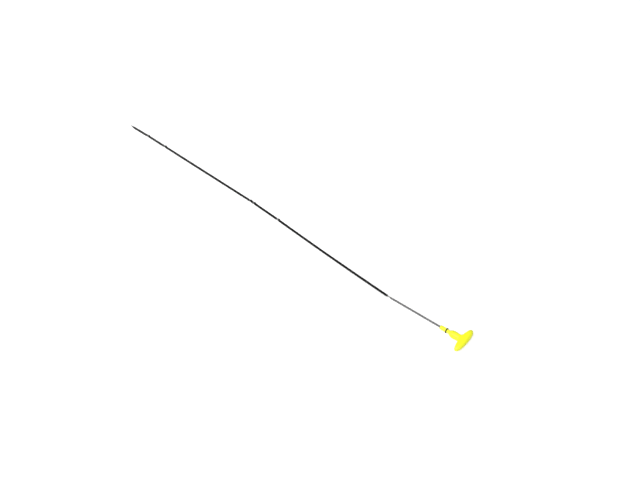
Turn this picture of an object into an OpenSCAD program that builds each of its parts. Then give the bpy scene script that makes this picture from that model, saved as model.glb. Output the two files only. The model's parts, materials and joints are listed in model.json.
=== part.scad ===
// Engine oil dipstick: a flat spring-steel blade moulded into a plastic T-handle, with a rubber seal ring.
// X runs along the dipstick, with the grip at +X, and Z is up. The dipstick lies on the plane Z = 0 as it
// comes to rest on a table. It is drawn from its stop face, the flat ring that seats on the guide tube,
// and then moved so that the middle of its outline seen from above is at X = 0 and Y = 0.

/* [Grip] */
// Length of the T-bar from end to end
bar_l = 46.6; // [38:0.1:58]
// Height of the T-bar at its middle
bar_h = 12.2; // [12.2:0.1:14]
// Distance from the stop face to the widest line of the T-bar
bar_x = 23.7; // [23:0.1:32]
// Depth of the T-bar from its widest line to its outer face
bar_out = 7; // [4.5:0.1:9]
// Depth of the T-bar from its widest line to its inner face
bar_in = 5.4; // [4:0.1:6.5]
// Radius of the hollow curve between collar and T-bar
fillet_r = 3.2; // [2:0.1:5]

/* [Collar] */
// Diameter of the collar at its widest
collar_d = 12; // [11.4:0.1:12.2]
// Distance from the stop face to the widest place of the collar
collar_peak = 5.8; // [4:0.1:8]
// Diameter of the collar where it runs into the T-bar
collar_end_d = 11.4; // [10:0.1:11.4]
// Outer diameter of the flat stop face
stop_d = 9; // [8:0.1:10]

/* [Stem] */
// Length of the stem from the stop face to its end
stem_l = 18.4; // [15:0.1:26]
// Diameter of the stem between its end and the seal ring
stem_d = 6.4; // [5.8:0.1:7]
// Diameter of the neck between the seal ring and the stop face
neck_d = 5.9; // [5.4:0.1:6.6]
// Length of the rounded lead-in at the end of the stem
lead_in = 1.4; // [0.4:0.1:1.6]

/* [Seal ring] */
// Thickness of the seal ring's round section
ring_cs = 1.65; // [1.2:0.05:1.9]
// Distance from the stop face to the middle of the seal ring
ring_x = 7; // [4:0.1:9]
// Diameter of the groove's floor
groove_d = 5; // [4.9:0.05:5.1]
// Play of the seal ring to each side of its groove
groove_play = 0.2; // [0.05:0.05:0.4]
// Clearance between the seal ring and the groove's floor
ring_fit = 0.02; // [0.01:0.01:0.05]

/* [Blade] */
// Width of the steel strip
blade_w = 4.2; // [3.6:0.05:4.3]
// Thickness of the steel strip
blade_t = 0.8; // [0.6:0.05:1]
// Rounding of the strip's rolled edges
edge_r = 0.25; // [0.1:0.01:0.28]
// Length of the blade from the stem to its tip
blade_l = 671.5; // [600:0.5:900]
// Length of the tapered tip
tip_l = 10; // [4:0.5:14]
// Width of the blade at its very tip
tip_w = 0.5; // [0.5:0.1:2]
// Distance by which the very tip lies beside the strip's middle line
tip_aside = 0.65; // [0:0.05:0.7]
// Length of the tang inside the handle
tang_l = 28; // [24:0.5:32]
// Diameter of the holes in the tang that the plastic fills
anchor_d = 1.8; // [1:0.1:2.2]
// Distance from the tang's end to the middle of its last hole
anchor_end = 3.5; // [2.5:0.1:6]
// Distance between the two anchor holes
anchor_pitch = 5; // [3.5:0.1:7]
// Clearance between the tang and the plastic round it
tang_fit = 0.02; // [0.01:0.01:0.05]

/* [Crimps and marks] */
// Height by which a crimp rises from the blade
crimp_h = 1.4; // [0.6:0.1:1.6]
// Length of a crimp's slope on the side of the tip
crimp_rise = 5; // [2.5:0.1:6]
// Length of a crimp's slope on the side of the handle
crimp_return = 2.6; // [2.5:0.1:5]
// Extra width of the strip where a crimp was pressed
crimp_spread = 0.3; // [0:0.05:0.6]
// Distance from the tip to the lower oil mark
low_mark = 41.5; // [20:0.5:60]
// Distance between the lower and the upper oil mark
mark_span = 39.5; // [20:0.5:60]
// Distance from the stem to the single guide crimp
single_crimp = 335; // [300:0.5:350]
// Distance from the stem to the middle of the pair of guide crimps
pair_crimp = 394.5; // [370:0.5:440]
// Distance between the crimps of the pair
pair_pitch = 8; // [7:0.1:12]
// Length of the slope of each crimp of the pair on the side of the handle
pair_slope = 4.4; // [2.5:0.1:4.6]
// Length of the steep step of each crimp of the pair on the side of the tip
pair_step = 0.9; // [0.8:0.1:2]

/* [Twist and set] */
// Distance from the stem to the middle of the quarter twist
twist_at = 97.5; // [60:0.5:150]
// Length of the quarter twist
twist_l = 11; // [4:0.5:12]
// Sideways turn at the quarter twist, in degrees
twist_turn = 5.95; // [0:0.05:8]
// Sideways turn at the single guide crimp, in degrees
single_turn = -1.1; // [-3:0.1:3]
// Sideways turn at the pair of guide crimps, in degrees
pair_turn = -2.3; // [-3:0.1:3]
// Sideways turn at the upper oil mark, in degrees
high_turn = -0.2; // [-3:0.1:3]
// Sideways turn at the lower oil mark, in degrees
low_turn = -1.3; // [-3:0.1:3]

/* [Hidden] */
eps = 0.01;
$fn = 96;

// The axis of stem and collar lies as high above the table as the middle of the T-bar
axis_z = bar_h / 2;
// The hollow curve into the T-bar begins at hollow_x, just past the end of the collar
seam_out = 0.1;
hollow_x = bar_x - bar_in - fillet_r;
collar_l = hollow_x - seam_out;
groove_w = ring_cs + 2 * groove_play;
ring_r = groove_d / 2 + ring_fit + ring_cs / 2;
low_at = blade_l - low_mark;
high_at = low_at - mark_span;
// Each crimp as its place on the blade and the lengths of its slopes towards the handle and the tip
crimps = [
    [single_crimp, crimp_return, crimp_rise],
    [pair_crimp - pair_pitch / 2, pair_slope, pair_step],
    [pair_crimp + pair_pitch / 2, pair_slope, pair_step],
    [high_at, crimp_return, crimp_rise],
    [low_at, crimp_return, crimp_rise]];
crimp_l = crimp_return + crimp_rise;
// The blade has come down to the table this far before the single crimp
touch_gap = 1;
touch_at = single_crimp - crimp_return - touch_gap;

// Roundness of the T-bar's outline seen from above, and of its sections seen from the side
plan_round = 2.3;
side_round = 2.6;
// The T-bar's skin starts this far inside the collar and this much smaller, so that the two overlap
seam_in = 1;
seam_step = 0.03;
seam_r = collar_end_d / 2 - seam_step;
// Facets round the grip, and stations along each of its curves
grip_sides = 56;
fillet_steps = 7;
inner_steps = 9;
outer_steps = 15;
// Last angle of the hollow curve and of the outer face, in degrees
fillet_end = 70;
face_end = 176;
// Steps of the rounded profiles of collar and lead-in, and how far the lead-in narrows for its length
collar_steps = 12;
lead_steps = 4;
lead_share = 0.35;
// Steps of the strip along the twist, its fall to the table, each slope of a crimp and the tip
twist_steps = 14;
fall_steps = 14;
crimp_steps = 5;
tip_steps = 7;
// Power of the tip's taper, above 1 where its sides are bowed
tip_power = 1.2;
// Facets along each rounded edge of the strip
edge_steps = 2;

// Eased step from 0 to 1 as t goes from 0 to 1
function ease(t) = let (c = max(0, min(1, t))) c * c * (3 - 2 * c);
// Eased step over a stretch of the given length round a place on the blade
function ease_over(s, middle, length) = ease((s - middle) / length + 0.5);

// Collar radius at a distance x from the stop face: a bellied cone up to the peak, then a slow taper
function collar_r(x) = x < collar_peak
    ? stop_d / 2 + (collar_d - stop_d) / 2 * sin(90 * x / collar_peak)
    : collar_end_d / 2 + (collar_d - collar_end_d) / 4
        * (1 + cos(180 * (x - collar_peak) / (collar_l - collar_peak)));

// Signed power that shapes the superellipse curves
function spow(v, e) = sign(v) * pow(abs(v), e);
// One point of a superellipse with half sizes a and b at an angle
function super(a, b, n, angle) = [a * spow(cos(angle), 2 / n), b * spow(sin(angle), 2 / n)];

// Angle on the T-bar's inner face at which it takes over from the hollow curve
bar_start = asin(pow((seam_r + fillet_r) / (bar_l / 2), plan_round / 2));
function bar_angle(t) = bar_start + (90 - bar_start) * t;

// Stations of the grip as [x, half width], first along the hollow curve, then round the T-bar
grip_outline = concat(
    [[collar_l - seam_in, seam_r]],
    [for (i = [0 : fillet_steps]) let (a = fillet_end * i / fillet_steps)
        [hollow_x + fillet_r * sin(a), seam_r + fillet_r * (1 - cos(a))]],
    [for (i = [0 : inner_steps]) let (a = bar_angle(i / inner_steps),
                                      p = super(bar_in, bar_l / 2, plan_round, a))
        [bar_x - p[0], p[1]]],
    [for (i = [1 : outer_steps]) let (a = 90 + (face_end - 90) * i / outer_steps,
                                      p = super(bar_out, bar_l / 2, plan_round, a))
        [bar_x - p[0], p[1]]]);

// Half height of the grip at x
function grip_h(x) = x < bar_x
    ? seam_r + (bar_h / 2 - seam_r) * ease((x - hollow_x) / (bar_x - hollow_x))
    : bar_h / 2 * pow(1 - pow((x - bar_x) / bar_out, plan_round), 1 / plan_round);
// Roundness of the grip's section at x: a circle at the collar, fuller in the T-bar
function grip_n(x) = 2 + (side_round - 2) * ease((x - hollow_x) / (bar_x - bar_in - hollow_x));

// Rings of points, each running clockwise as seen from the rings behind it, joined into a closed skin
module skin(rings) {
    sides = len(rings[0]);
    last = len(rings) - 1;
    walls = [for (k = [0 : last - 1], i = [0 : sides - 1]) let (j = (i + 1) % sides)
        [k * sides + i, k * sides + j, (k + 1) * sides + j, (k + 1) * sides + i]];
    caps = [[for (i = [sides - 1 : -1 : 0]) i], [for (i = [0 : sides - 1]) last * sides + i]];
    polyhedron(points = [for (ring = rings) each ring], faces = concat(walls, caps), convexity = 6);
}

// Lays a profile of [distance along X, radius] round the dipstick's axis
module turned(profile) {
    translate([0, 0, axis_z])
        rotate([0, 90, 0])
            rotate_extrude()
                polygon([for (p = profile) [p[1], p[0]]]);
}

// Stem, neck with its groove, and the collar with its flat stop face
module handle_shank() {
    turned(concat(
        [[collar_l, 0], [-stem_l, 0]],
        [for (i = [0 : lead_steps]) let (a = 90 * (1 - i / lead_steps))
            [-stem_l + lead_in * (1 - sin(a)), stem_d / 2 - lead_in * lead_share * (1 - cos(a))]],
        [[-ring_x - groove_w / 2, stem_d / 2], [-ring_x - groove_w / 2, groove_d / 2],
         [-ring_x + groove_w / 2, groove_d / 2], [-ring_x + groove_w / 2, neck_d / 2], [0, neck_d / 2]],
        [for (i = [0 : collar_steps]) let (x = collar_l * i / collar_steps) [x, collar_r(x)]]));
}

// T-bar with the hollow curves that lead into it, lofted along X
module grip() {
    translate([0, 0, axis_z])
        skin([for (st = grip_outline) [for (i = [0 : grip_sides - 1])
            let (p = super(st[1], grip_h(st[0]), grip_n(st[0]), -360 * i / grip_sides))
            [st[0], p[0], p[1]]]]);
}

// Places that repeat at each anchor hole of the tang
module at_anchors() {
    for (i = [0, 1])
        translate([tang_l - stem_l - anchor_end - anchor_pitch * i, 0, axis_z])
            rotate([90, 0, 0])
                children();
}

// Space that the tang takes in the handle, with the plastic left standing in its anchor holes
module tang_space() {
    difference() {
        translate([-stem_l - eps, -blade_t / 2 - tang_fit, axis_z - blade_w / 2 - tang_fit])
            cube([tang_l + tang_fit + eps, blade_t + 2 * tang_fit, blade_w + 2 * tang_fit]);
        at_anchors()
            cylinder(d = anchor_d - 2 * tang_fit, h = blade_w, center = true);
    }
}

module handle() {
    color([0.98, 0.96, 0.12])
        placed()
            difference() {
                union() {
                    handle_shank();
                    grip();
                }
                tang_space();
            }
}

module seal_ring() {
    color([0.09, 0.09, 0.09])
        placed()
            translate([-ring_x, 0, axis_z])
                rotate([0, 90, 0])
                    rotate_extrude()
                        translate([ring_r, 0])
                            circle(d = ring_cs);
}

// Share of a crimp's rise at a place on the blade, from 0 beside it to 1 at its top
function crimp_share(s) = max([for (c = crimps) ease(1 - abs(s - c[0]) / (s < c[0] ? c[1] : c[2]))]);
// Share of the blade's fall that is still to come, from 1 at the twist to 0 on the table
function fall_share(s) = max(0, min(1, (touch_at - s) / (touch_at - twist_at)));
// Height of the strip's middle above the table
function blade_z(s) = blade_t / 2 + (axis_z - blade_t / 2) * pow(fall_share(s), 2)
    + crimp_h * crimp_share(s);
// Direction of the blade seen from above, in degrees from the stem's own line
function blade_turn(s) = twist_turn * ease_over(s, twist_at, twist_l)
    + single_turn * ease_over(s, single_crimp, crimp_l)
    + pair_turn * ease_over(s, pair_crimp, pair_pitch)
    + high_turn * ease_over(s, high_at, crimp_l)
    + low_turn * ease_over(s, low_at, crimp_l);
// Turn of the strip about its own length: on edge at the stem, flat past the twist
function blade_roll(s) = -90 * (1 - ease_over(s, twist_at, twist_l));
// Share of the tip's taper at a place on the blade
function tip_share(s) = max(0, (s - blade_l) / tip_l + 1);
function blade_width(s) = blade_w + crimp_spread * crimp_share(s)
    - (blade_w - tip_w) * pow(tip_share(s), tip_power);

// Places along the blade where its form changes, from the tang's end to the tip
function spread(from, to, steps) = [for (i = [0 : steps]) from + (to - from) * i / steps];
blade_places = concat(
    [-tang_l],
    spread(twist_at - twist_l / 2, twist_at + twist_l / 2, twist_steps),
    spread(twist_at + twist_l, touch_at, fall_steps),
    [for (c = crimps) each concat(
        spread(c[0] - c[1], c[0], crimp_steps),
        [for (i = [1 : crimp_steps]) c[0] + c[2] * i / crimp_steps])],
    spread(blade_l - tip_l, blade_l, tip_steps));

// Points on the table plane below each place, added up step by step along the blade's direction
blade_plan = [for (i = 0, p = [tang_l - stem_l, 0]; i < len(blade_places);
    p = i + 1 < len(blade_places) ? p + plan_step(blade_places[i], blade_places[i + 1]) : p, i = i + 1) p];
function plan_step(a, b) = let (turn = blade_turn((a + b) / 2)) (b - a) * [-cos(turn), sin(turn)];

// The strip's section, with rounded corners
function strip_section(w) = [for (q = [[1, 1], [-1, 1], [-1, -1], [1, -1]], k = [0 : edge_steps])
    let (a = 90 / edge_steps * (q[0] * q[1] > 0 ? k : edge_steps - k))
        [q[0] * (w / 2 - edge_r * (1 - cos(a))), q[1] * (blade_t / 2 - edge_r * (1 - sin(a)))]];

// Ring of points round the strip at one place
function blade_ring(s, plan) = let (
    turn = blade_turn(s), roll = blade_roll(s),
    side = [sin(turn), cos(turn), 0], up = [0, 0, 1],
    across = side * cos(roll) + up * sin(roll), through = up * cos(roll) - side * sin(roll))
    [for (q = strip_section(blade_width(s)))
        [plan[0], plan[1], blade_z(s)] + across * (q[0] + tip_aside * tip_share(s)) + through * q[1]];
blade_rings = [for (i = [0 : len(blade_places) - 1]) blade_ring(blade_places[i], blade_plan[i])];

// Middle of the dipstick's outline seen from above, between T-bar and tip and between their outer sides
grip_end = grip_outline[len(grip_outline) - 1][0];
tip_end = min([for (ring = blade_rings, p = ring) p[0]]);
tip_side = max([for (ring = blade_rings, p = ring) p[1]]);
module placed() {
    translate([-(grip_end + tip_end) / 2, -(tip_side - bar_l / 2) / 2, 0])
        children();
}

module blade() {
    color([0.2, 0.2, 0.21])
        placed()
            difference() {
                skin(blade_rings);
                at_anchors()
                    cylinder(d = anchor_d, h = blade_w, center = true);
            }
}

handle();
seal_ring();
blade();
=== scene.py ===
"""Visual model of an engine oil dipstick, lying on a pale table in soft studio light.

Three pieces stand for the three solids of the frame: the yellow moulded T-handle, the rubber seal ring
in its groove, and the dark spring-steel blade with its quarter twist, guide crimps and oil marks.
Every length in the dataclasses is in millimetres, measured from the handle's flat stop face.
"""

from __future__ import annotations

import json
import logging
import math
from dataclasses import dataclass
from enum import Enum

import bmesh
import bpy
import numpy as np
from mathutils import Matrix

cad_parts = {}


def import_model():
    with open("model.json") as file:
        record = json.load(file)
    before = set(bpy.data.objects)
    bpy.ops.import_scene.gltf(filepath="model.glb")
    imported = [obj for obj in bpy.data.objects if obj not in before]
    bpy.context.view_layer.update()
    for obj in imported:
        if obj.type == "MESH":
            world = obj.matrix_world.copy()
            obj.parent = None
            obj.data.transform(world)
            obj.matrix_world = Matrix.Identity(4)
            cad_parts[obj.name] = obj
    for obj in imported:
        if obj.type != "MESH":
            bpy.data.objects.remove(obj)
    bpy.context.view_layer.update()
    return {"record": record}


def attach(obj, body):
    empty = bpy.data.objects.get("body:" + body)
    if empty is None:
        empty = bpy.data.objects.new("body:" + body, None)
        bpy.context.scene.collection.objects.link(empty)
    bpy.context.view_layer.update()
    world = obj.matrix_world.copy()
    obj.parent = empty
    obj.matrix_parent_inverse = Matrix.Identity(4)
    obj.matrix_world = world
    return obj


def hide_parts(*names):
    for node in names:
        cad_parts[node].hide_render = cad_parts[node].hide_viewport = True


MM = 0.001
BODY = "root"
LOG = logging.getLogger("dipstick")
MERGE_DISTANCE = 1e-7
TINY = 1e-12
ELLIPSE = 2.0
WHITE = (1.0, 1.0, 1.0, 1.0)

Socket = bpy.types.NodeSocket
Colour = tuple[float, float, float]
Point = tuple[float, float]
Range = tuple[float, float]
Corner = tuple[float, float, float]
Station = tuple[float, float, float, float]


class Slot(Enum):
    """Names of the record's material slots for the three pieces."""

    HANDLE = "handle_plastic"
    SEAL = "seal_rubber"
    BLADE = "blade_steel"


class Turn(Enum):
    """Places where the blade bends sideways, as seen from above."""

    TWIST = "at the quarter twist"
    SINGLE = "at the single guide crimp"
    PAIR = "at the pair of guide crimps"
    HIGH = "at the upper oil mark"
    LOW = "at the lower oil mark"


@dataclass(frozen=True)
class Seat:
    """Where the dipstick's own axis lies in the frame.

    Attributes:
        stop_x: place of the flat stop face along X, in millimetres.
        axis_y: place of the axis of stem and collar along Y, in millimetres.
        axis_z: height of that axis above the table, in millimetres.
    """

    stop_x: float
    axis_y: float
    axis_z: float

    @classmethod
    def from_record(cls, record: dict) -> "Seat":
        """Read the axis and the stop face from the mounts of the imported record.

        Args:
            record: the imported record.

        Returns:
            The place of the dipstick's axis.
        """
        mounts = {mount["name"]: mount["pos_m"] for mount in record["mounts"]}
        axis = mounts["tube_seat"]
        return cls(mounts["stop_face"][0] / MM, axis[1] / MM, axis[2] / MM)

    def to_frame(self, points: np.ndarray) -> np.ndarray:
        """Move points from the dipstick's axis into the frame.

        Args:
            points: points in millimetres, from the middle of the stop face.

        Returns:
            The same points in metres, in the frame.
        """
        return (points + np.array([self.stop_x, self.axis_y, self.axis_z])) * MM


def ease(share: float) -> float:
    """Return the eased step from 0 to 1 as share goes from 0 to 1."""
    clipped = min(1.0, max(0.0, share))
    return clipped * clipped * (3 - 2 * clipped)


def ease_over(place: float, middle: float, length: float) -> float:
    """Return the eased step over a stretch of the given length round a place."""
    return ease((place - middle) / length + 0.5)


def ease_out(share: float) -> float:
    """Return a step from 0 to 1 that slows down towards its end."""
    return math.sin(math.pi / 2 * share)


def signed_power(value: float, power: float) -> float:
    """Return the power of a value's size, with the value's sign."""
    return math.copysign(abs(value) ** power, value)


def superellipse(half_a: float, half_b: float, roundness: float, angle: float) -> Point:
    """Return one point of a superellipse.

    Args:
        half_a: half size along the first direction.
        half_b: half size along the second direction.
        roundness: 2 for an ellipse, more for a fuller shape.
        angle: angle of the point in degrees.

    Returns:
        The point along both directions.
    """
    power = 2 / roundness
    cosine, sine = math.cos(math.radians(angle)), math.sin(math.radians(angle))
    return half_a * signed_power(cosine, power), half_b * signed_power(sine, power)


def rounded_profile(corners: list[Corner], steps: int) -> list[Point]:
    """Round the corners of a profile that is drawn with straight lines.

    Args:
        corners: points of the profile, each with the radius of its corner.
        steps: points along each rounded corner, less one.

    Returns:
        The profile's points with its corners rounded.
    """
    points: list[Point] = []
    for index, (x, r, radius) in enumerate(corners):
        if radius == 0 or index in (0, len(corners) - 1):
            points.append((x, r))
            continue
        here = np.array([x, r])
        before = np.array(corners[index - 1][:2]) - here
        after = np.array(corners[index + 1][:2]) - here
        reach_before = min(radius, np.linalg.norm(before) / 2)
        reach_after = min(radius, np.linalg.norm(after) / 2)
        start = here + before / np.linalg.norm(before) * reach_before
        end = here + after / np.linalg.norm(after) * reach_after
        for step in range(steps + 1):
            share = step / steps
            point = start * (1 - share) ** 2 + here * 2 * share * (1 - share) + end * share**2
            points.append((float(point[0]), float(point[1])))
    return points


def placed(name: str, data: bpy.types.ID) -> bpy.types.Object:
    """Put a mesh, a lamp or a camera into the scene, and return its object."""
    thing = bpy.data.objects.new(name, data)
    bpy.context.scene.collection.objects.link(thing)
    return thing


def skin_object(name: str, rings: np.ndarray, closed: bool) -> bpy.types.Object:
    """Join rings of points into a skin of quads.

    Args:
        name: name of the new object.
        rings: array of rings, points round each ring, and coordinates, in metres.
        closed: True where the last ring joins the first, False where both ends are capped.

    Returns:
        The new object, smooth shaded, with its faces pointing outwards.
    """
    count, sides = rings.shape[:2]
    vertices = rings.reshape(-1, 3).tolist()
    spans = count if closed else count - 1
    faces: list[tuple[int, ...]] = []
    for ring in range(spans):
        here, there = ring * sides, (ring + 1) % count * sides
        for side in range(sides):
            ahead = (side + 1) % sides
            faces.append((here + side, here + ahead, there + ahead, there + side))
    if not closed:
        for start in (0, (count - 1) * sides):
            centre = len(vertices)
            vertices.append(np.mean(vertices[start : start + sides], axis=0).tolist())
            for side in range(sides):
                faces.append((start + side, start + (side + 1) % sides, centre))
    mesh = bpy.data.meshes.new(name)
    mesh.from_pydata(vertices, [], faces)
    point_outwards(mesh)
    return placed(name, mesh)


def point_outwards(mesh: bpy.types.Mesh) -> None:
    """Merge doubles, turn all faces outwards and shade them smooth.

    Args:
        mesh: the mesh to finish.
    """
    work = bmesh.new()
    work.from_mesh(mesh)
    bmesh.ops.remove_doubles(work, verts=work.verts, dist=MERGE_DISTANCE)
    bmesh.ops.recalc_face_normals(work, faces=work.faces)
    for face in work.faces:
        face.smooth = True
    work.to_mesh(mesh)
    work.free()


class Tree:
    """A node tree that is filled node by node."""

    def __init__(self, tree: bpy.types.NodeTree) -> None:
        """Start from an emptied tree.

        Args:
            tree: the tree to fill.
        """
        self.tree = tree
        tree.nodes.clear()

    def add(self, kind: str, inputs: dict | None = None, **settings: object) -> bpy.types.Node:
        """Add a node.

        Args:
            kind: the node's type.
            inputs: values or other nodes' outputs, by input name or number.
            **settings: the node's own settings.

        Returns:
            The new node.
        """
        node = self.tree.nodes.new(kind)
        for name, value in settings.items():
            setattr(node, name, value)
        for key, value in (inputs or {}).items():
            self.put(node, key, value)
        return node

    def number(self, operation: str, *values: object) -> Socket:
        """Add a node that works on numbers or other nodes' outputs, and return its result."""
        return self.add("ShaderNodeMath", dict(enumerate(values)), operation=operation).outputs[0]

    def vector(self, operation: str, inputs: dict) -> Socket:
        """Add a node that works on vectors, and return its result."""
        return self.add("ShaderNodeVectorMath", inputs, operation=operation).outputs[0]

    def put(self, node: bpy.types.Node, key: str | int, value: object) -> None:
        """Give an input a value or link an output to it.

        Args:
            node: the node whose input is set.
            key: the input's name or number.
            value: a number, a colour, or another node's output.
        """
        if isinstance(value, Socket):
            self.tree.links.new(value, node.inputs[key])
        else:
            node.inputs[key].default_value = value


class MaterialTree(Tree):
    """A new material's node tree, with the steps that several finishes share.

    MIX_FIRST, MIX_SECOND and MIX_RESULT are the numbers of the colour mix's sockets.
    """

    MIX_FIRST = 6
    MIX_SECOND = 7
    MIX_RESULT = 2

    def __init__(self, name: str) -> None:
        """Start a new material.

        Args:
            name: the material's name.
        """
        self.material = bpy.data.materials.new(name)
        self.material.use_nodes = True
        super().__init__(self.material.node_tree)

    def noise(self, place: Socket, scale: float, detail: float) -> Socket:
        """Add a noise of so many patches per metre and layers of detail, and return its value."""
        inputs = {"Vector": place, "Scale": scale, "Detail": detail}
        return self.add("ShaderNodeTexNoise", inputs).outputs["Fac"]

    def rough(self, noise: Socket, gloss: Range) -> Socket:
        """Spread a noise over a finish's lowest to highest roughness, and return the roughness."""
        inputs = {"Value": noise, "To Min": gloss[0], "To Max": gloss[1]}
        return self.add("ShaderNodeMapRange", inputs).outputs["Result"]

    def bump(self, noise: Socket, relief: float) -> Socket:
        """Add a relief of the given height in metres, and return the surface's new direction."""
        inputs = {"Height": noise, "Strength": 1.0, "Distance": relief}
        return self.add("ShaderNodeBump", inputs).outputs["Normal"]

    def blend(self, share: Socket, first: Colour, second: Colour) -> Socket:
        """Blend two colours.

        Args:
            share: share of the second colour.
            first: colour where the share is 0.
            second: colour where the share is 1.

        Returns:
            The blended colour.
        """
        node = self.add("ShaderNodeMix", {"Factor": share}, data_type="RGBA")
        self.put(node, self.MIX_FIRST, (*first, 1.0))
        self.put(node, self.MIX_SECOND, (*second, 1.0))
        return node.outputs[self.MIX_RESULT]

    def finish(self, inputs: dict) -> bpy.types.Material:
        """Close the material with its one shader.

        Args:
            inputs: the shader's inputs by name.

        Returns:
            The material.
        """
        shader = self.add("ShaderNodeBsdfPrincipled", inputs)
        self.add("ShaderNodeOutputMaterial", {"Surface": shader.outputs["BSDF"]})
        return self.material


@dataclass(frozen=True)
class MouldedPlastic:
    """Yellow plastic with the fine grain of its mould.

    Attributes:
        colour: the plastic's colour.
        shade: the slightly deeper colour of its cloudy patches.
        gloss: lowest and highest roughness.
        ior: how strongly it bends light.
        cloud, cloud_detail: patches of colour per metre, and their layers of finer noise.
        grain, grain_detail: grains of the mould's surface per metre, and their layers.
        relief: height of the grain in metres.
    """

    colour: Colour = (0.93, 0.95, 0.030)
    shade: Colour = (0.89, 0.91, 0.022)
    gloss: Range = (0.38, 0.50)
    ior: float = 1.49
    cloud: float = 90.0
    cloud_detail: float = 4.0
    grain: float = 4200.0
    grain_detail: float = 2.0
    relief: float = 0.000012

    def material(self) -> bpy.types.Material:
        """Build the material.

        Returns:
            The material.
        """
        tree = MaterialTree("moulded_yellow_plastic")
        place = tree.add("ShaderNodeTexCoord").outputs["Object"]
        clouds = tree.noise(place, self.cloud, self.cloud_detail)
        grains = tree.noise(place, self.grain, self.grain_detail)
        return tree.finish(
            {
                "Base Color": tree.blend(clouds, self.colour, self.shade),
                "Roughness": tree.rough(clouds, self.gloss),
                "IOR": self.ior,
                "Normal": tree.bump(grains, self.relief),
            }
        )


@dataclass(frozen=True)
class SealRubber:
    """Black rubber of the seal ring.

    Attributes:
        colour: the rubber's colour.
        gloss: lowest and highest roughness.
        ior: how strongly it bends light.
        grain, grain_detail: grains per metre, and their layers of finer noise.
        relief: height of the grain in metres.
    """

    colour: Colour = (0.005, 0.005, 0.005)
    gloss: Range = (0.75, 0.90)
    ior: float = 1.52
    grain: float = 2600.0
    grain_detail: float = 3.0
    relief: float = 0.00002

    def material(self) -> bpy.types.Material:
        """Build the material.

        Returns:
            The material.
        """
        tree = MaterialTree("black_seal_rubber")
        place = tree.add("ShaderNodeTexCoord").outputs["Object"]
        grains = tree.noise(place, self.grain, self.grain_detail)
        return tree.finish(
            {
                "Base Color": (*self.colour, 1.0),
                "Roughness": tree.rough(grains, self.gloss),
                "IOR": self.ior,
                "Normal": tree.bump(grains, self.relief),
            }
        )


@dataclass(frozen=True)
class SpringSteel:
    """Dark tempered spring steel with the fine lines of its rolling.

    Attributes:
        colour: the dark oxide's colour.
        worn: colour where the oxide is rubbed thin.
        gloss: lowest and highest roughness.
        lines, line_detail: rolling lines per metre across the strip, and their layers of finer noise.
        stretch: how much longer the lines are than wide.
        relief: depth of the lines in metres.
        patches, patch_detail: patches of thinner oxide per metre, and their layers.
        thin_from, thin_to: values of the patches' noise at which the oxide begins and ends to thin.
        thin_most: share of the worn colour where the oxide is thinnest.
    """

    colour: Colour = (0.15, 0.15, 0.152)
    worn: Colour = (0.20, 0.20, 0.202)
    gloss: Range = (0.20, 0.28)
    lines: float = 5200.0
    line_detail: float = 3.0
    stretch: float = 60.0
    relief: float = 0.000004
    patches: float = 70.0
    patch_detail: float = 5.0
    thin_from: float = 0.5
    thin_to: float = 0.8
    thin_most: float = 0.7

    def material(self) -> bpy.types.Material:
        """Build the material, which follows the strip by its own attribute.

        Returns:
            The material.
        """
        tree = MaterialTree("tempered_spring_steel")
        strip = tree.add("ShaderNodeAttribute", attribute_name=Blade.ALONG).outputs["Vector"]
        stretched = tree.add(
            "ShaderNodeMapping", {"Vector": strip, "Scale": (1 / self.stretch, 1.0, 1.0)}
        )
        lines = tree.noise(stretched.outputs["Vector"], self.lines, self.line_detail)
        thin = tree.add(
            "ShaderNodeMapRange",
            {
                "Value": tree.noise(strip, self.patches, self.patch_detail),
                "From Min": self.thin_from,
                "From Max": self.thin_to,
                "To Max": self.thin_most,
            },
        )
        return tree.finish(
            {
                "Base Color": tree.blend(thin.outputs["Result"], self.colour, self.worn),
                "Metallic": 1.0,
                "Roughness": tree.rough(lines, self.gloss),
                "Normal": tree.bump(lines, self.relief),
            }
        )


@dataclass(frozen=True)
class PaleStudio:
    """White floor and wall, which keep the object's shadow.

    Attributes:
        albedo: share of the light that the floor throws back.
        lift: brightness added for what looks straight at it, so that it shows white.
    """

    albedo: float = 0.6
    lift: float = 0.5

    def material(self) -> bpy.types.Material:
        """Build the material.

        Returns:
            The material.
        """
        tree = MaterialTree("pale_studio_floor")
        light = tree.add("ShaderNodeLightPath").outputs
        seen = tree.number("MAXIMUM", light["Is Camera Ray"], light["Is Glossy Ray"])
        shown = tree.number("MAXIMUM", seen, light["Is Transmission Ray"])
        strength = tree.number("MULTIPLY", shown, self.lift)
        matt = tree.add("ShaderNodeBsdfDiffuse", {"Color": (*[self.albedo] * 3, 1.0)})
        glow = tree.add("ShaderNodeEmission", {"Color": WHITE, "Strength": strength})
        both = tree.add("ShaderNodeAddShader", {0: matt.outputs[0], 1: glow.outputs[0]})
        tree.add("ShaderNodeOutputMaterial", {"Surface": both.outputs[0]})
        return tree.material


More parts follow.
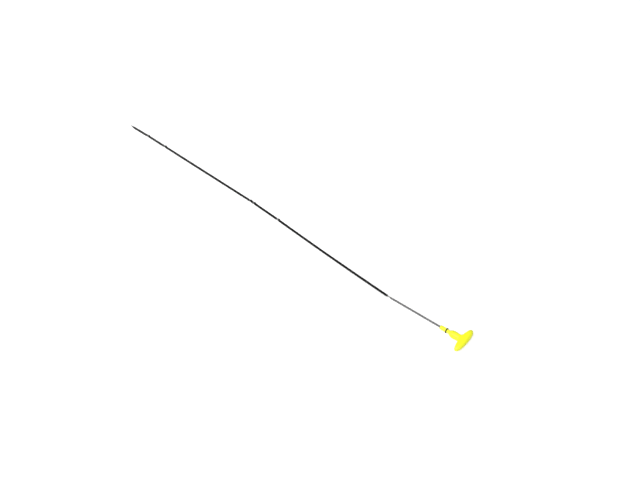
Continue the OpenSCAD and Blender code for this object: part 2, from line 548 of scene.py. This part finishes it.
@dataclass
class HandleMoulding:
    """The T-handle with collar, neck, ring groove and stem, moulded round the blade's tang.

    Attributes:
        bar_l, bar_h: length and height of the T-bar.
        bar_x: distance from the stop face to the widest line of the T-bar.
        bar_out, bar_in: depth of the T-bar outwards and inwards of that line.
        fillet_r: radius of the hollow curve between collar and T-bar.
        collar_d, collar_peak: the collar's widest diameter and its place.
        collar_end_d: diameter of the collar's end.
        stop_d: outer diameter of the flat stop face.
        stem_l, stem_d, neck_d: length of the stem and diameters of stem and neck.
        lead_in: length of the rounded lead-in at the stem's end.
        stem_mid, neck_mid: places of the extra rings that keep stem and neck straight.
        groove_at, groove_w, groove_d: middle, width and floor diameter of the ring groove.
        corner_r: small rounding of the moulding's corners.
        tang_l, tang_w, tang_t: the tang's length, width and thickness, with its clearance.
        seam_h, seam_w: height and half width of the mould's seam line.

    PLAN_ROUND and SIDE_ROUND are the T-bar's roundness from above and in section. LEAD_SHARE is the
    lead-in's depth as a share of its length. FILLET_END and FACE_END are the last angles of the hollow
    curve and of the outer face, in degrees. SEAM_PLACES are the heights of the points beside the seam,
    which are drawn closer together below a half height of SEAM_FULL. MOUTH_SHARE is the rounding of the
    slot's mouth as a share of corner_r, and MOUTH_RINGS counts the rings round it that have no seam.
    """

    bar_l: float = 46.6
    bar_h: float = 12.2
    bar_x: float = 23.7
    bar_out: float = 7.0
    bar_in: float = 5.4
    fillet_r: float = 3.2
    collar_d: float = 12.0
    collar_peak: float = 5.8
    collar_end_d: float = 11.4
    stop_d: float = 9.0
    stem_l: float = 18.4
    stem_d: float = 6.4
    neck_d: float = 5.9
    lead_in: float = 1.4
    stem_mid: float = -12.0
    neck_mid: float = -1.0
    groove_at: float = -7.0
    groove_w: float = 2.05
    groove_d: float = 5.0
    corner_r: float = 0.2
    tang_l: float = 28.0
    tang_w: float = 4.24
    tang_t: float = 0.84
    seam_h: float = 0.05
    seam_w: float = 0.08

    PLAN_ROUND = 2.3
    SIDE_ROUND = 2.6
    LEAD_SHARE = 0.35
    FILLET_END = 70.0
    FACE_END = 179.2
    SEAM_PLACES = (0.0, 0.03, 0.06, 0.09, 0.13, 0.2, 0.32, 0.5)
    SEAM_FULL = 1.2
    MOUTH_SHARE = 0.25
    MOUTH_RINGS = 2
    QUARTER_STEPS = 34
    CORNER_STEPS = 4
    LEAD_STEPS = 8
    COLLAR_STEPS = 34
    FILLET_STEPS = 18
    FLANK_STEPS = 23
    FACE_STEPS = 45

    def collar_length(self) -> float:
        """Return the place where the collar ends and the hollow curve begins."""
        return self.bar_x - self.bar_in - self.fillet_r

    def collar_radius(self, x: float) -> float:
        """Return the collar's radius: a bellied cone up to its peak, then a slow taper."""
        if x < self.collar_peak:
            rise = math.sin(math.pi / 2 * x / self.collar_peak)
            return self.stop_d / 2 + (self.collar_d - self.stop_d) / 2 * rise
        fall = (x - self.collar_peak) / (self.collar_length() - self.collar_peak)
        taper = (self.collar_d - self.collar_end_d) / 4
        return self.collar_end_d / 2 + taper * (1 + math.cos(math.pi * fall))

    def shank_stations(self) -> list[Station]:
        """List the round stations from the stem's end to the collar's end.

        Returns:
            Stations as place along X, half width, half height and roundness.
        """
        stem_r, neck_r, floor_r = self.stem_d / 2, self.neck_d / 2, self.groove_d / 2
        end_r = stem_r - self.lead_in * self.LEAD_SHARE
        low, high = self.groove_at - self.groove_w / 2, self.groove_at + self.groove_w / 2
        corner = self.corner_r
        profile: list[Corner] = [(-self.stem_l, end_r - corner * self.MOUTH_SHARE, 0)]
        for step in range(self.LEAD_STEPS + 1):
            angle = math.radians(90 * (1 - step / self.LEAD_STEPS))
            drop = self.lead_in * self.LEAD_SHARE * (1 - math.cos(angle))
            x = -self.stem_l + self.lead_in * (1 - math.sin(angle))
            profile.append((x, stem_r - drop, 0))
        profile += [
            (self.stem_mid, stem_r, 0),
            (low, stem_r, corner),
            (low, floor_r, corner),
            (high, floor_r, corner),
            (high, neck_r, corner),
            (self.neck_mid, neck_r, 0),
            (0, neck_r, corner / 2),
            (0, self.stop_d / 2, corner / 2),
        ]
        for step in range(1, self.COLLAR_STEPS + 1):
            x = self.collar_length() * step / self.COLLAR_STEPS
            profile.append((x, self.collar_radius(x), 0))
        return [(x, r, r, ELLIPSE) for x, r in rounded_profile(profile, self.CORNER_STEPS)]

    def grip_half_height(self, x: float) -> float:
        """Return the half height of the grip at x."""
        end_r = self.collar_end_d / 2
        if x < self.bar_x:
            share = (x - self.collar_length()) / (self.bar_x - self.collar_length())
            return end_r + (self.bar_h / 2 - end_r) * ease(share)
        depth = min(1.0, (x - self.bar_x) / self.bar_out)
        return self.bar_h / 2 * (1 - depth**self.PLAN_ROUND) ** (1 / self.PLAN_ROUND)

    def grip_stations(self) -> list[Station]:
        """List the stations of the hollow curves and of the T-bar.

        Returns:
            Stations as place along X, half width, half height and roundness.
        """
        end_r, start, radius = self.collar_end_d / 2, self.collar_length(), self.fillet_r
        outline: list[Point] = []
        for step in range(1, self.FILLET_STEPS + 1):
            angle = math.radians(self.FILLET_END * step / self.FILLET_STEPS)
            outline.append((start + radius * math.sin(angle), end_r + radius * (1 - math.cos(angle))))
        end_share = (end_r + radius) / (self.bar_l / 2)
        first = math.degrees(math.asin(end_share ** (self.PLAN_ROUND / 2)))
        for step in range(self.FLANK_STEPS + 1):
            angle = first + (90 - first) * step / self.FLANK_STEPS
            depth, half = superellipse(self.bar_in, self.bar_l / 2, self.PLAN_ROUND, angle)
            outline.append((self.bar_x - depth, half))
        for step in range(1, self.FACE_STEPS + 1):
            angle = 90 + (self.FACE_END - 90) * ease_out(step / self.FACE_STEPS)
            depth, half = superellipse(self.bar_out, self.bar_l / 2, self.PLAN_ROUND, angle)
            outline.append((self.bar_x - depth, half))
        fuller = self.bar_x - self.bar_in - start
        stations: list[Station] = []
        for x, half in outline:
            roundness = ELLIPSE + (self.SIDE_ROUND - ELLIPSE) * ease((x - start) / fuller)
            stations.append((x, half, self.grip_half_height(x), roundness))
        return stations

    def ring(self, half_width: float, half_height: float, roundness: float) -> list[Point]:
        """List the points round one station, close together at the mould's seam.

        Args:
            half_width: half size across the dipstick.
            half_height: half size upwards.
            roundness: roundness of the section.

        Returns:
            Points as distances across and up.
        """
        scale = min(1.0, half_height / self.SEAM_FULL)
        quarter: list[Point] = []
        for up in self.SEAM_PLACES:
            height = up * scale
            across = half_width * (1 - (height / half_height) ** roundness) ** (1 / roundness)
            quarter.append((across, height))
        last_share = self.SEAM_PLACES[-1] * scale / half_height
        first = math.degrees(math.asin(last_share ** (roundness / 2)))
        for step in range(1, self.QUARTER_STEPS + 1):
            angle = first + (90 - first) * step / self.QUARTER_STEPS
            quarter.append(superellipse(half_width, half_height, roundness, angle))
        half = quarter + [(-y, z) for y, z in quarter[-2::-1]]
        return half + [(y, -z) for y, z in half[-2:0:-1]]

    def tang_ring(self, template: list[Point], margin: float) -> list[Point]:
        """Lay the points of a round ring onto the outline of the tang's slot.

        Args:
            template: points of a round ring, which give the directions.
            margin: distance by which the outline is larger than the slot.

        Returns:
            Points on the slot's outline.
        """
        half_y, half_z = self.tang_t / 2 + margin, self.tang_w / 2 + margin
        points: list[Point] = []
        for y, z in template:
            reach = min(half_y / max(abs(y), TINY), half_z / max(abs(z), TINY))
            points.append((y * reach, z * reach))
        return points

    def rings(self) -> np.ndarray:
        """Work out all rings of the moulding, with the slot for the tang and the seam line.

        Returns:
            The rings' points in millimetres, from the middle of the stop face.
        """
        stations = self.shank_stations() + self.grip_stations()
        first_ring = self.ring(*stations[0][1:])
        slot = [
            (self.tang_l - self.stem_l, 0.0),
            (-self.stem_l + self.corner_r / 2, 0.0),
            (-self.stem_l, self.corner_r * self.MOUTH_SHARE),
        ]
        inner = [[(x, y, z) for y, z in self.tang_ring(first_ring, margin)] for x, margin in slot]
        outer = [[(x, y, z) for y, z in self.ring(*rest)] for x, *rest in stations]
        grid = np.array(inner + outer)
        along = np.gradient(grid, axis=0)
        around = np.roll(grid, -1, axis=1) - np.roll(grid, 1, axis=1)
        normal = np.cross(around, along)
        normal /= np.maximum(np.linalg.norm(normal, axis=2, keepdims=True), TINY)
        seam = self.seam_h * np.exp(-((grid[:, :, 2] / self.seam_w) ** 2))
        seam[: len(inner) + self.MOUTH_RINGS] = 0
        grid += normal * seam[:, :, None]
        return grid

    def build(self, seat: Seat) -> bpy.types.Object:
        """Build the moulding.

        Args:
            seat: where the dipstick's axis lies.

        Returns:
            The finished piece.
        """
        return skin_object("handle_moulding", seat.to_frame(self.rings()), closed=False)


@dataclass
class SealRing:
    """The rubber O-ring in the stem's groove.

    Attributes:
        at: place of the ring's middle along the dipstick.
        section_d: thickness of its round section.
        middle_r: radius of the section's middle line.
        flash_h, flash_w: height and half width of the mould's flash line.
    """

    at: float = -7.0
    section_d: float = 1.65
    middle_r: float = 3.345
    flash_h: float = 0.03
    flash_w: float = 0.06

    AROUND = 128
    SECTION = 48

    def build(self, seat: Seat) -> bpy.types.Object:
        """Build the ring.

        Args:
            seat: where the dipstick's axis lies.

        Returns:
            The finished piece.
        """
        rings = np.zeros((self.AROUND, self.SECTION, 3))
        for turn in range(self.AROUND):
            around = math.tau * turn / self.AROUND
            for step in range(self.SECTION):
                angle = math.tau * step / self.SECTION
                aside = self.section_d / 2 * math.sin(angle)
                flash = self.flash_h * math.exp(-((aside / self.flash_w) ** 2)) * (math.cos(angle) > 0)
                radius = self.middle_r + (self.section_d / 2 + flash) * math.cos(angle)
                y, z = radius * math.cos(around), radius * math.sin(around)
                rings[turn, step] = (self.at + aside, y, z)
        return skin_object("rubber_seal_ring", seat.to_frame(rings), closed=True)


@dataclass
class Blade:
    """The spring-steel strip from its tang in the handle to its tapered tip.

    Attributes:
        width, thickness, edge_r: the strip's section and the rounding of its rolled edges.
        stem_l: place of the stem's end, from which the blade is measured.
        length: length from the stem to the tip.
        tip_l, tip_w, tip_aside, tip_power: length, end width, lean and bow of the tapered tip.
        tang_l: length of the tang inside the handle.
        crimp_h, crimp_spread: height and extra width of a crimp.
        crimp_rise, crimp_return: lengths of a crimp's slopes towards the tip and towards the handle.
        pair_slope, pair_step: lengths of the slope and of the step of each crimp of the pair.
        low_mark, mark_span: place of the lower oil mark from the tip, and span between the marks.
        single_crimp, pair_crimp, pair_pitch: places of the guide crimps from the stem.
        twist_at, twist_l: place and length of the quarter twist.
        touch_gap: distance before the single crimp at which the blade has come down to the table.
    """

    width: float = 4.2
    thickness: float = 0.8
    edge_r: float = 0.25
    stem_l: float = 18.4
    length: float = 671.5
    tip_l: float = 10.0
    tip_w: float = 0.5
    tip_aside: float = 0.65
    tip_power: float = 1.2
    tang_l: float = 28.0
    crimp_h: float = 1.4
    crimp_rise: float = 5.0
    crimp_return: float = 2.6
    pair_slope: float = 4.4
    pair_step: float = 0.9
    crimp_spread: float = 0.3
    low_mark: float = 41.5
    mark_span: float = 39.5
    single_crimp: float = 335.0
    pair_crimp: float = 394.5
    pair_pitch: float = 8.0
    twist_at: float = 97.5
    twist_l: float = 11.0
    touch_gap: float = 1.0

    ALONG = "strip_at"
    CENTRE = "strip_centre"
    ACROSS = "strip_across"
    THROUGH = "strip_through"
    LOCAL_WIDTH = "strip_width"
    PROFILE = "strip_profile"
    TURNS = {
        Turn.TWIST: 5.95,
        Turn.SINGLE: -1.1,
        Turn.PAIR: -2.3,
        Turn.HIGH: -0.2,
        Turn.LOW: -1.3,
    }
    FINE_STEP = 0.15
    COARSE_STEP = 3.0
    EDGE_STEPS = 5

    def crimps(self) -> list[tuple[float, float, float]]:
        """List the tops of all crimps, from the stem to the tip.

        Returns:
            Each crimp's place, with the lengths of its slopes towards the handle and towards the tip.
        """
        low = self.length - self.low_mark
        slopes, half = (self.crimp_return, self.crimp_rise), self.pair_pitch / 2
        pair = [(self.pair_crimp + aside, self.pair_slope, self.pair_step) for aside in (-half, half)]
        return [(self.single_crimp, *slopes), *pair, (low - self.mark_span, *slopes), (low, *slopes)]

    def crimp_share(self, place: float) -> float:
        """Return the share of a crimp's rise at a place, from 0 beside it to 1 at its top."""
        shares = [0.0]
        for top, before, after in self.crimps():
            slope = before if place < top else after
            shares.append(ease(1 - abs(place - top) / slope))
        return max(shares)

    def height(self, place: float, axis_z: float) -> float:
        """Return the height of the strip's middle above the table."""
        touch_at = self.single_crimp - self.crimp_return - self.touch_gap
        past_twist = (place - self.twist_at) / (touch_at - self.twist_at)
        above_table = (1 - min(1.0, max(0.0, past_twist))) ** 2
        flat = self.thickness / 2
        return flat + (axis_z - flat) * above_table + self.crimp_h * self.crimp_share(place)

    def turn(self, place: float) -> float:
        """Return the blade's direction seen from above, in radians from the stem's own line."""
        single, _, _, high, low = (crimp[0] for crimp in self.crimps())
        bend = self.crimp_rise + self.crimp_return
        steps = {
            Turn.TWIST: ease_over(place, self.twist_at, self.twist_l),
            Turn.SINGLE: ease_over(place, single, bend),
            Turn.PAIR: ease_over(place, self.pair_crimp, self.pair_pitch),
            Turn.HIGH: ease_over(place, high, bend),
            Turn.LOW: ease_over(place, low, bend),
        }
        return math.radians(sum(self.TURNS[name] * step for name, step in steps.items()))

    def roll(self, place: float) -> float:
        """Return the strip's turn about its own length: on edge at the stem, flat past the twist."""
        return math.radians(-90 * (1 - ease_over(place, self.twist_at, self.twist_l)))

    def tip_share(self, place: float) -> float:
        """Return the share of the tip's taper at a place on the blade."""
        return max(0.0, (place - self.length) / self.tip_l + 1)

    def local_width(self, place: float) -> float:
        """Return the strip's width at a place on the blade."""
        taper = (self.width - self.tip_w) * self.tip_share(place) ** self.tip_power
        return self.width + self.crimp_spread * self.crimp_share(place) - taper

    def places(self) -> list[float]:
        """List the places along the blade, close together where its form changes.

        Returns:
            Distances from the stem, from the tang's end to the tip.
        """
        busy = [(self.twist_at - self.twist_l, self.twist_at + self.twist_l)]
        for top, before, after in self.crimps():
            busy += [(top - before, top), (top, top + after)]
        busy += [(self.length - self.tip_l, self.length)]
        found: list[float] = []
        place = -self.tang_l
        for start, end in busy:
            coarse = max(1, math.ceil((start - place) / self.COARSE_STEP))
            found += [place + (start - place) * step / coarse for step in range(coarse)]
            fine = math.ceil((end - start) / self.FINE_STEP)
            found += [start + (end - start) * step / fine for step in range(fine)]
            place = end
        return found + [self.length]

    def path_mesh(self, seat: Seat) -> bpy.types.Mesh:
        """Build the strip's middle line, with the strip's directions and width at each point.

        Args:
            seat: where the dipstick's axis lies.

        Returns:
            A mesh of points and edges with named attributes.
        """
        places = self.places()
        centre, across, through, along, widths = [], [], [], [], []
        plan = np.array([self.tang_l - self.stem_l, 0.0])
        for index, place in enumerate(places):
            if index:
                before = places[index - 1]
                turn = self.turn((before + place) / 2)
                plan = plan + (place - before) * np.array([-math.cos(turn), math.sin(turn)])
            turn, roll = self.turn(place), self.roll(place)
            side, up = np.array([math.sin(turn), math.cos(turn), 0.0]), np.array([0.0, 0.0, 1.0])
            outward = side * math.cos(roll) + up * math.sin(roll)
            lean = outward * self.tip_aside * self.tip_share(place)
            height = self.height(place, seat.axis_z) - seat.axis_z
            centre.append(np.array([plan[0], plan[1], height]) + lean)
            across.append(outward)
            through.append(up * math.cos(roll) - side * math.sin(roll))
            along.append([place * MM, 0.0, 0.0])
            widths.append(self.local_width(place) * MM)
        points = seat.to_frame(np.array(centre))
        mesh = bpy.data.meshes.new("blade_path")
        mesh.from_pydata(points.tolist(), [(i, i + 1) for i in range(len(points) - 1)], [])
        vectors = {
            self.CENTRE: points,
            self.ACROSS: across,
            self.THROUGH: through,
            self.ALONG: along,
        }
        for name, values in vectors.items():
            layer = mesh.attributes.new(name, "FLOAT_VECTOR", "POINT")
            layer.data.foreach_set("vector", np.array(values, np.float32).ravel())
        layer = mesh.attributes.new(self.LOCAL_WIDTH, "FLOAT", "POINT")
        layer.data.foreach_set("value", np.array(widths, np.float32))
        return mesh

    @staticmethod
    def empty_group() -> bpy.types.GeometryNodeTree:
        """Make the tree's group with its inputs and its output.

        Returns:
            The group, without nodes.
        """
        group = bpy.data.node_groups.new("strip_sweep", "GeometryNodeTree")
        sockets = {
            "Strip width": "NodeSocketFloat",
            "Strip thickness": "NodeSocketFloat",
            "Edge radius": "NodeSocketFloat",
            "Edge steps": "NodeSocketInt",
            "Material": "NodeSocketMaterial",
        }
        face = group.interface
        face.new_socket("Geometry", in_out="INPUT", socket_type="NodeSocketGeometry")
        for name, kind in sockets.items():
            face.new_socket(name, in_out="INPUT", socket_type=kind)
        face.new_socket("Geometry", in_out="OUTPUT", socket_type="NodeSocketGeometry")
        return group

    def swept(self, tree: Tree, given: bpy.types.NodeOutputs) -> Socket:
        """Sweep the strip's section with its rolled edges along the path.

        Args:
            tree: the tree to add to.
            given: the tree's inputs.

        Returns:
            The swept mesh, which remembers each point's place in the section.
        """
        path = tree.add("GeometryNodeMeshToCurve", {"Mesh": given["Geometry"]})
        section = tree.add(
            "GeometryNodeCurvePrimitiveQuadrilateral",
            {"Width": given["Strip width"], "Height": given["Strip thickness"]},
        )
        rolled = tree.add(
            "GeometryNodeFilletCurve",
            {
                "Curve": section.outputs["Curve"],
                "Count": given["Edge steps"],
                "Radius": given["Edge radius"],
            },
            mode="POLY",
        )
        position = tree.add("GeometryNodeInputPosition").outputs["Position"]
        sweep = tree.add(
            "GeometryNodeCurveToMesh",
            {
                "Curve": path.outputs["Curve"],
                "Profile Curve": self.store(tree, rolled.outputs["Curve"], self.PROFILE, position),
                "Fill Caps": True,
            },
        )
        return sweep.outputs["Mesh"]

    def sweep_tree(self) -> bpy.types.GeometryNodeTree:
        """Build the Geometry Nodes tree that lays the strip's section along its path.

        Returns:
            The tree, with named inputs for the section's sizes and its material.
        """
        group = self.empty_group()
        tree = Tree(group)
        given = tree.add("NodeGroupInput").outputs
        swept = self.swept(tree, given)
        profile = tree.add("ShaderNodeSeparateXYZ", {"Vector": self.read(tree, self.PROFILE)}).outputs
        width = self.read(tree, self.LOCAL_WIDTH, "FLOAT")
        extra = tree.number("SUBTRACT", width, given["Strip width"])
        half_extra = tree.number("MULTIPLY", extra, 0.5)
        reach = tree.number("MULTIPLY_ADD", tree.number("SIGN", profile["X"]), half_extra, profile["X"])
        outward = tree.vector("SCALE", {0: self.read(tree, self.ACROSS), "Scale": reach})
        upward = tree.vector("SCALE", {0: self.read(tree, self.THROUGH), "Scale": profile["Y"]})
        aside = tree.vector("ADD", {0: outward, 1: upward})
        place = tree.vector("ADD", {0: self.read(tree, self.CENTRE), 1: aside})
        laid = tree.add("GeometryNodeSetPosition", {"Geometry": swept, "Position": place})
        beside = tree.add("ShaderNodeCombineXYZ", {"Y": reach, "Z": profile["Y"]}).outputs[0]
        strip_at = tree.vector("ADD", {0: self.read(tree, self.ALONG), 1: beside})
        named = self.store(tree, laid.outputs["Geometry"], self.ALONG, strip_at)
        real = tree.add("GeometryNodeRealizeInstances", {"Geometry": named})
        dressed = tree.add(
            "GeometryNodeSetMaterial",
            {"Geometry": real.outputs["Geometry"], "Material": given["Material"]},
        )
        tree.add("NodeGroupOutput", {"Geometry": dressed.outputs["Geometry"]})
        return group

    @staticmethod
    def read(tree: Tree, name: str, kind: str = "FLOAT_VECTOR") -> Socket:
        """Add a node that reads a named attribute.

        Args:
            tree: the tree to add to.
            name: the attribute's name.
            kind: the attribute's data type.

        Returns:
            The output that holds the attribute.
        """
        node = tree.add("GeometryNodeInputNamedAttribute", {"Name": name}, data_type=kind)
        return node.outputs["Attribute"]

    @staticmethod
    def store(tree: Tree, geometry: Socket, name: str, value: Socket) -> Socket:
        """Store a vector for each point under a name, and return the geometry."""
        node = tree.add(
            "GeometryNodeStoreNamedAttribute",
            {"Geometry": geometry, "Name": name, "Value": value},
            data_type="FLOAT_VECTOR",
            domain="POINT",
        )
        return node.outputs["Geometry"]

    def build(self, seat: Seat, steel: bpy.types.Material) -> bpy.types.Object:
        """Build the blade through its Geometry Nodes tree and turn the result into a plain mesh.

        Args:
            seat: where the dipstick's axis lies.
            steel: the blade's material.

        Returns:
            The finished piece.
        """
        piece = placed("spring_steel_blade", self.path_mesh(seat))
        group = self.sweep_tree()
        modifier = piece.modifiers.new("strip_sweep", "NODES")
        modifier.node_group = group
        given = {
            "Strip width": self.width * MM,
            "Strip thickness": self.thickness * MM,
            "Edge radius": self.edge_r * MM,
            "Edge steps": self.EDGE_STEPS,
            "Material": steel,
        }
        for item in group.interface.items_tree:
            if item.in_out == "INPUT" and item.name in given:
                modifier[item.identifier] = given[item.name]
        graph = bpy.context.evaluated_depsgraph_get()
        mesh = bpy.data.meshes.new_from_object(piece.evaluated_get(graph), depsgraph=graph)
        piece.modifiers.remove(modifier)
        mesh.name = "spring_steel_blade"
        piece.data = mesh
        point_outwards(mesh)
        return piece


@dataclass(frozen=True)
class SoftBox:
    """One soft square lamp.

    Attributes:
        name: the lamp's name.
        place: where it hangs, in metres.
        size: side of its square, in metres.
        power: its power in watts.
    """

    name: str
    place: tuple[float, float, float]
    size: float
    power: float


@dataclass
class Studio:
    """Floor, wall, lamps and camera of a plain photographic studio.

    Attributes:
        azimuth, elevation: the camera's viewing angle in degrees.
        camera_at: the camera's place in millimetres, from the table's point below the stop face.
        lens, sensor: focal length and sensor width in millimetres.
        floor_r, wall_h, cove_r: radius of the floor, height of the wall and radius of the cove,
            in metres.
        world: brightness of the dim room above the lamps.
    """

    azimuth: float = 37.458
    elevation: float = 48.957
    camera_at: tuple[float, float, float] = (692.3, -1228.5, 1823.9)
    lens: float = 85.0
    sensor: float = 36.0
    floor_r: float = 7.0
    wall_h: float = 4.0
    cove_r: float = 1.0
    world: float = 0.08

    CLIP_END = 100.0
    SIDES = 96
    FLOOR_SHARES = (0.02, 0.1, 0.3, 0.6, 0.85)
    COVE_STEPS = 12
    BOXES = (
        SoftBox("key_softbox", (1.0, -1.8, 3.0), 3.4, 165.0),
        SoftBox("side_softbox", (-1.8, -2.1, 2.6), 2.0, 60.0),
        SoftBox("rim_softbox", (-0.97, 0.65, 0.3), 0.3, 0.6),
        SoftBox("back_softbox", (-2.25, 1.5, 1.85), 1.1, 1.7),
    )

    def build_camera(self, seat: Seat) -> None:
        """Build the camera at the photograph's viewing angle.

        Args:
            seat: where the dipstick's axis lies.
        """
        data = bpy.data.cameras.new("camera")
        data.lens = self.lens
        data.sensor_width = self.sensor
        data.sensor_fit = "HORIZONTAL"
        data.clip_end = self.CLIP_END
        camera = placed("camera", data)
        right, back, up = self.camera_at
        camera.location = ((right + seat.stop_x) * MM, (back + seat.axis_y) * MM, up * MM)
        camera.rotation_euler = (math.radians(90 - self.elevation), 0.0, math.radians(self.azimuth))
        bpy.context.scene.camera = camera

    def build_floor(self, finish: PaleStudio) -> None:
        """Build the floor and the wall that curves up round it.

        Args:
            finish: finish of floor and wall.
        """
        profile = [(self.floor_r * share, 0.0) for share in self.FLOOR_SHARES]
        for step in range(self.COVE_STEPS + 1):
            angle = math.pi / 2 * step / self.COVE_STEPS
            rise = self.cove_r * (1 - math.cos(angle))
            profile.append((self.floor_r + self.cove_r * math.sin(angle), rise))
        profile.append((self.floor_r + self.cove_r, self.wall_h))
        vertices = [(0.0, 0.0, 0.0)]
        for radius, height in profile:
            for side in range(self.SIDES):
                angle = math.tau * side / self.SIDES
                vertices.append((radius * math.cos(angle), radius * math.sin(angle), height))
        faces: list[tuple[int, ...]] = []
        for side in range(self.SIDES):
            faces.append((0, side + 1, (side + 1) % self.SIDES + 1))
        for ring in range(len(profile) - 1):
            here, there = 1 + ring * self.SIDES, 1 + (ring + 1) * self.SIDES
            for side in range(self.SIDES):
                ahead = (side + 1) % self.SIDES
                faces.append((here + side, there + side, there + ahead, here + ahead))
        mesh = bpy.data.meshes.new("studio_floor")
        mesh.from_pydata(vertices, [], faces)
        for polygon in mesh.polygons:
            polygon.use_smooth = True
        floor = placed("studio_floor", mesh)
        mesh.materials.append(finish.material())

    def build_lamps(self) -> None:
        """Build the soft lamps, each turned towards the object, and the dim room above them."""
        for box in self.BOXES:
            data = bpy.data.lights.new(box.name, "AREA")
            data.shape = "SQUARE"
            data.size = box.size
            data.energy = box.power
            lamp = placed(box.name, data)
            lamp.location = box.place
            x, y, z = box.place
            lamp.rotation_euler = (math.atan2(math.hypot(x, y), z), 0.0, math.atan2(x, -y))
        world = bpy.data.worlds.new("dim_room")
        world.use_nodes = True
        tree = Tree(world.node_tree)
        back = tree.add("ShaderNodeBackground", {"Color": WHITE, "Strength": self.world})
        tree.add("ShaderNodeOutputWorld", {"Surface": back.outputs[0]})
        bpy.context.scene.world = world

    def build(self, seat: Seat) -> None:
        """Build the whole studio.

        Args:
            seat: where the dipstick's axis lies.
        """
        self.build_camera(seat)
        self.build_floor(PaleStudio())
        self.build_lamps()
        bpy.context.scene.view_settings.view_transform = "Standard"


def dress(piece: bpy.types.Object, material: bpy.types.Material, node: str) -> None:
    """Give a piece its material and seat it in the frame in place of its solid.

    Args:
        piece: the finished piece.
        material: the piece's material.
        node: the frame's node that it stands for.
    """
    piece.data.materials.clear()
    piece.data.materials.append(material)
    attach(piece, BODY)
    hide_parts(node)
    LOG.info("%s: %d faces, stands for %s", piece.name, len(piece.data.polygons), node)


def main() -> None:
    """Build the dipstick round the frame and the studio round the dipstick."""
    logging.basicConfig(level=logging.INFO, format="%(name)s: %(message)s")
    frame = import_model()
    seat = Seat.from_record(frame["record"])
    Studio().build(seat)
    steel = SpringSteel().material()
    dress(HandleMoulding().build(seat), MouldedPlastic().material(), "handle")
    dress(SealRing().build(seat), SealRubber().material(), "seal_ring")
    dress(Blade().build(seat, steel), steel, "blade")


if __name__ == "__main__":
    main()
